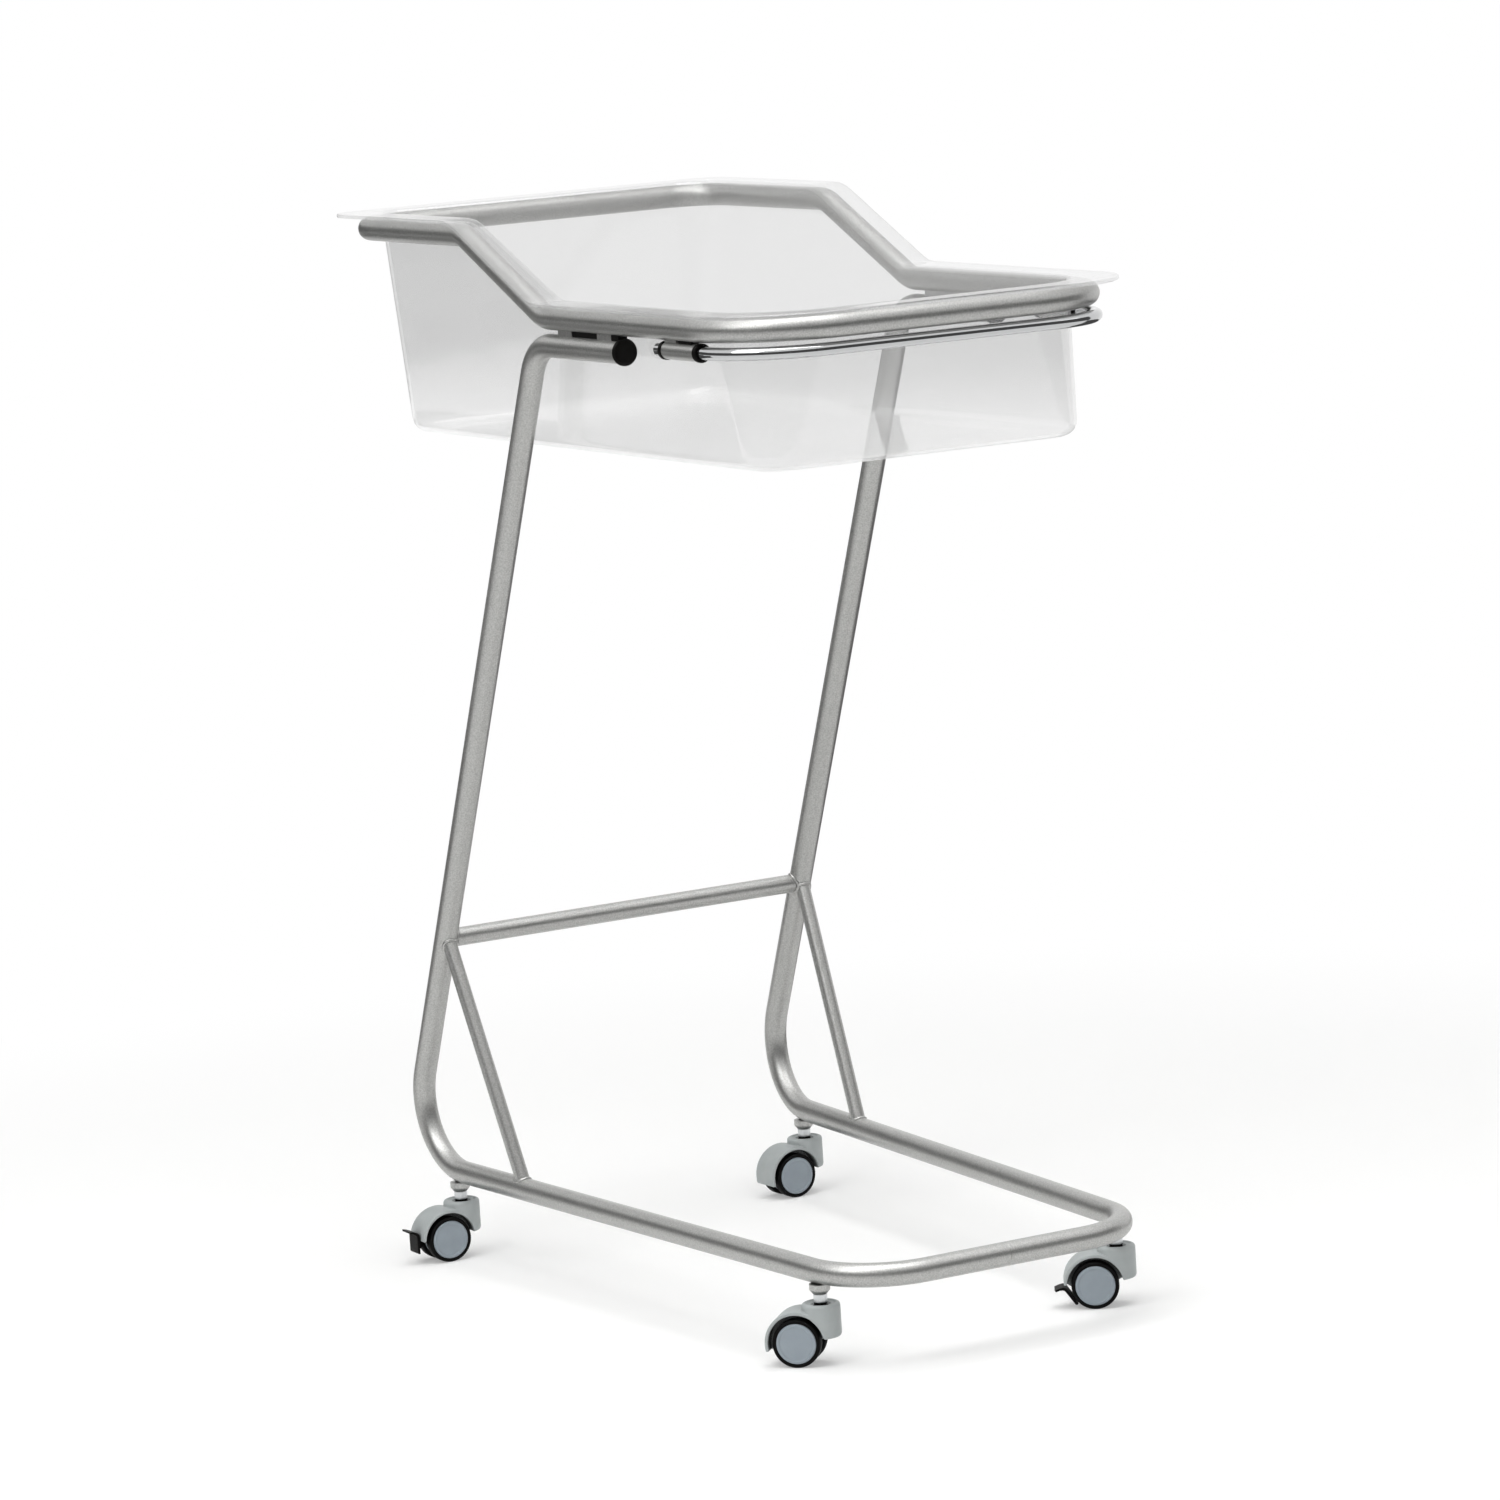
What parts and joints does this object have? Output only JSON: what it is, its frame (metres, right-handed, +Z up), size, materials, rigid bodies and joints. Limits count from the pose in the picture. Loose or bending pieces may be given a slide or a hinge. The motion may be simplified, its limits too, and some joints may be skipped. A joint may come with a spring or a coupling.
{
  "type": "hospital bassinet",
  "caption": "Hospital bassinet: clear lift-out tub with a raised head end in a bent tube stand with a leaning leg frame, a foot rail and swivelling braked casters.",
  "frame": {"origin": "on the floor under the middle of the whole bassinet, casters as parked", "axes": "+X from the head end to the foot end, +Y to the right side, +Z up"},
  "size_m": [0.7958, 0.4706, 1.014],
  "materials": {
    "silver_paint": "satin silver paint on steel tube",
    "black_plastic": "moulded black plastic",
    "chrome_rail": "bright plated rod",
    "clear_plastic": "clear polished plastic",
    "grey_plastic": "moulded light grey plastic",
    "hub_plastic": "moulded blue-grey plastic",
    "tyre_rubber": "matt black rubber",
    "zinc_steel": "bright zinc plate"
  },
  "bodies": {
    "frame": {"side_tube_left": "silver_paint", "brace_left": "silver_paint", "end_plug_left": "black_plastic", "ring_spacer_left": "silver_paint", "rail_sleeve_left": "silver_paint", "rail_bush_left_head": "black_plastic", "rail_bush_left_foot": "black_plastic", "side_tube_right": "silver_paint", "brace_right": "silver_paint", "end_plug_right": "black_plastic", "ring_spacer_right": "silver_paint", "rail_sleeve_right": "silver_paint", "rail_bush_right_head": "black_plastic", "rail_bush_right_foot": "black_plastic", "cross_bar": "silver_paint", "ring_head_bow": "silver_paint", "ring_foot_bow": "silver_paint", "foot_rail": "chrome_rail", "caster_socket_head_left": "silver_paint", "caster_stem_head_left": "zinc_steel", "caster_socket_head_right": "silver_paint", "caster_stem_head_right": "zinc_steel", "caster_socket_foot_left": "silver_paint", "caster_stem_foot_left": "zinc_steel", "caster_socket_foot_right": "silver_paint", "caster_stem_foot_right": "zinc_steel"},
    "tub": {"tub": "clear_plastic"},
    "caster_head_left": {"caster_hood_head_left": "grey_plastic", "swivel_bush_head_left": "black_plastic", "axle_head_left": "zinc_steel", "pedal_pin_head_left": "zinc_steel"},
    "wheel_head_left_a": {"hub_head_left_a": "hub_plastic", "tyre_head_left_a": "tyre_rubber"},
    "wheel_head_left_b": {"hub_head_left_b": "hub_plastic", "tyre_head_left_b": "tyre_rubber"},
    "pedal_head_left": {"brake_pedal_head_left": "black_plastic"},
    "caster_head_right": {"caster_hood_head_right": "grey_plastic", "swivel_bush_head_right": "black_plastic", "axle_head_right": "zinc_steel"},
    "wheel_head_right_a": {"hub_head_right_a": "hub_plastic", "tyre_head_right_a": "tyre_rubber"},
    "wheel_head_right_b": {"hub_head_right_b": "hub_plastic", "tyre_head_right_b": "tyre_rubber"},
    "caster_foot_left": {"caster_hood_foot_left": "grey_plastic", "swivel_bush_foot_left": "black_plastic", "axle_foot_left": "zinc_steel"},
    "wheel_foot_left_a": {"hub_foot_left_a": "hub_plastic", "tyre_foot_left_a": "tyre_rubber"},
    "wheel_foot_left_b": {"hub_foot_left_b": "hub_plastic", "tyre_foot_left_b": "tyre_rubber"},
    "caster_foot_right": {"caster_hood_foot_right": "grey_plastic", "swivel_bush_foot_right": "black_plastic", "axle_foot_right": "zinc_steel", "pedal_pin_foot_right": "zinc_steel"},
    "wheel_foot_right_a": {"hub_foot_right_a": "hub_plastic", "tyre_foot_right_a": "tyre_rubber"},
    "wheel_foot_right_b": {"hub_foot_right_b": "hub_plastic", "tyre_foot_right_b": "tyre_rubber"},
    "pedal_foot_right": {"brake_pedal_foot_right": "black_plastic"}
  },
  "joints": [
    {"name": "tub_lift", "type": "slide", "parent": "frame", "child": "tub", "axis": [0, 0, 1], "range_m": [0, 0.3]},
    {"name": "swivel_head_left", "type": "hinge", "parent": "frame", "child": "caster_head_left", "pos_m": [-0.29891, -0.17387, 0.05763], "axis": [0, 0, 1], "continuous": true},
    {"name": "roll_head_left_a", "type": "hinge", "parent": "caster_head_left", "child": "wheel_head_left_a", "pos_m": [-0.31012, -0.19451, 0.02173], "axis": [0.9994, -0.0349, 0], "continuous": true},
    {"name": "roll_head_left_b", "type": "hinge", "parent": "caster_head_left", "child": "wheel_head_left_b", "pos_m": [-0.28917, -0.19521, 0.02173], "axis": [0.9994, -0.0349, 0], "continuous": true},
    {"name": "brake_head_left", "type": "hinge", "parent": "caster_head_left", "child": "pedal_head_left", "pos_m": [-0.30006, -0.20685, 0.02973], "axis": [0.9994, -0.0349, 0], "range_deg": [0, 35]},
    {"name": "swivel_head_right", "type": "hinge", "parent": "frame", "child": "caster_head_right", "pos_m": [-0.29891, 0.21457, 0.05763], "axis": [0, 0, 1], "continuous": true},
    {"name": "roll_head_right_a", "type": "hinge", "parent": "caster_head_right", "child": "wheel_head_right_a", "pos_m": [-0.30866, 0.19323, 0.02173], "axis": [0.9994, 0.0349, 0], "continuous": true},
    {"name": "roll_head_right_b", "type": "hinge", "parent": "caster_head_right", "child": "wheel_head_right_b", "pos_m": [-0.2877, 0.19394, 0.02173], "axis": [0.9994, 0.0349, 0], "continuous": true},
    {"name": "swivel_foot_left", "type": "hinge", "parent": "frame", "child": "caster_foot_left", "pos_m": [0.32509, -0.13728, 0.05763], "axis": [0, 0, 1], "continuous": true},
    {"name": "roll_foot_left_a", "type": "hinge", "parent": "caster_foot_left", "child": "wheel_foot_left_a", "pos_m": [0.30322, -0.14538, 0.02173], "axis": [0.7193, -0.6947, 0], "continuous": true},
    {"name": "roll_foot_left_b", "type": "hinge", "parent": "caster_foot_left", "child": "wheel_foot_left_b", "pos_m": [0.31778, -0.15941, 0.02173], "axis": [0.7193, -0.6947, 0], "continuous": true},
    {"name": "swivel_foot_right", "type": "hinge", "parent": "frame", "child": "caster_foot_right", "pos_m": [0.32509, 0.17799, 0.05763], "axis": [0, 0, 1], "continuous": true},
    {"name": "roll_foot_right_a", "type": "hinge", "parent": "caster_foot_right", "child": "wheel_foot_right_a", "pos_m": [0.30527, 0.16553, 0.02173], "axis": [0.848, -0.5299, 0], "continuous": true},
    {"name": "roll_foot_right_b", "type": "hinge", "parent": "caster_foot_right", "child": "wheel_foot_right_b", "pos_m": [0.32266, 0.15482, 0.02173], "axis": [0.848, -0.5299, 0], "continuous": true},
    {"name": "brake_foot_right", "type": "hinge", "parent": "caster_foot_right", "child": "pedal_foot_right", "pos_m": [0.3076, 0.15, 0.02973], "axis": [0.848, -0.5299, 0], "range_deg": [-35, 0]}
  ]
}
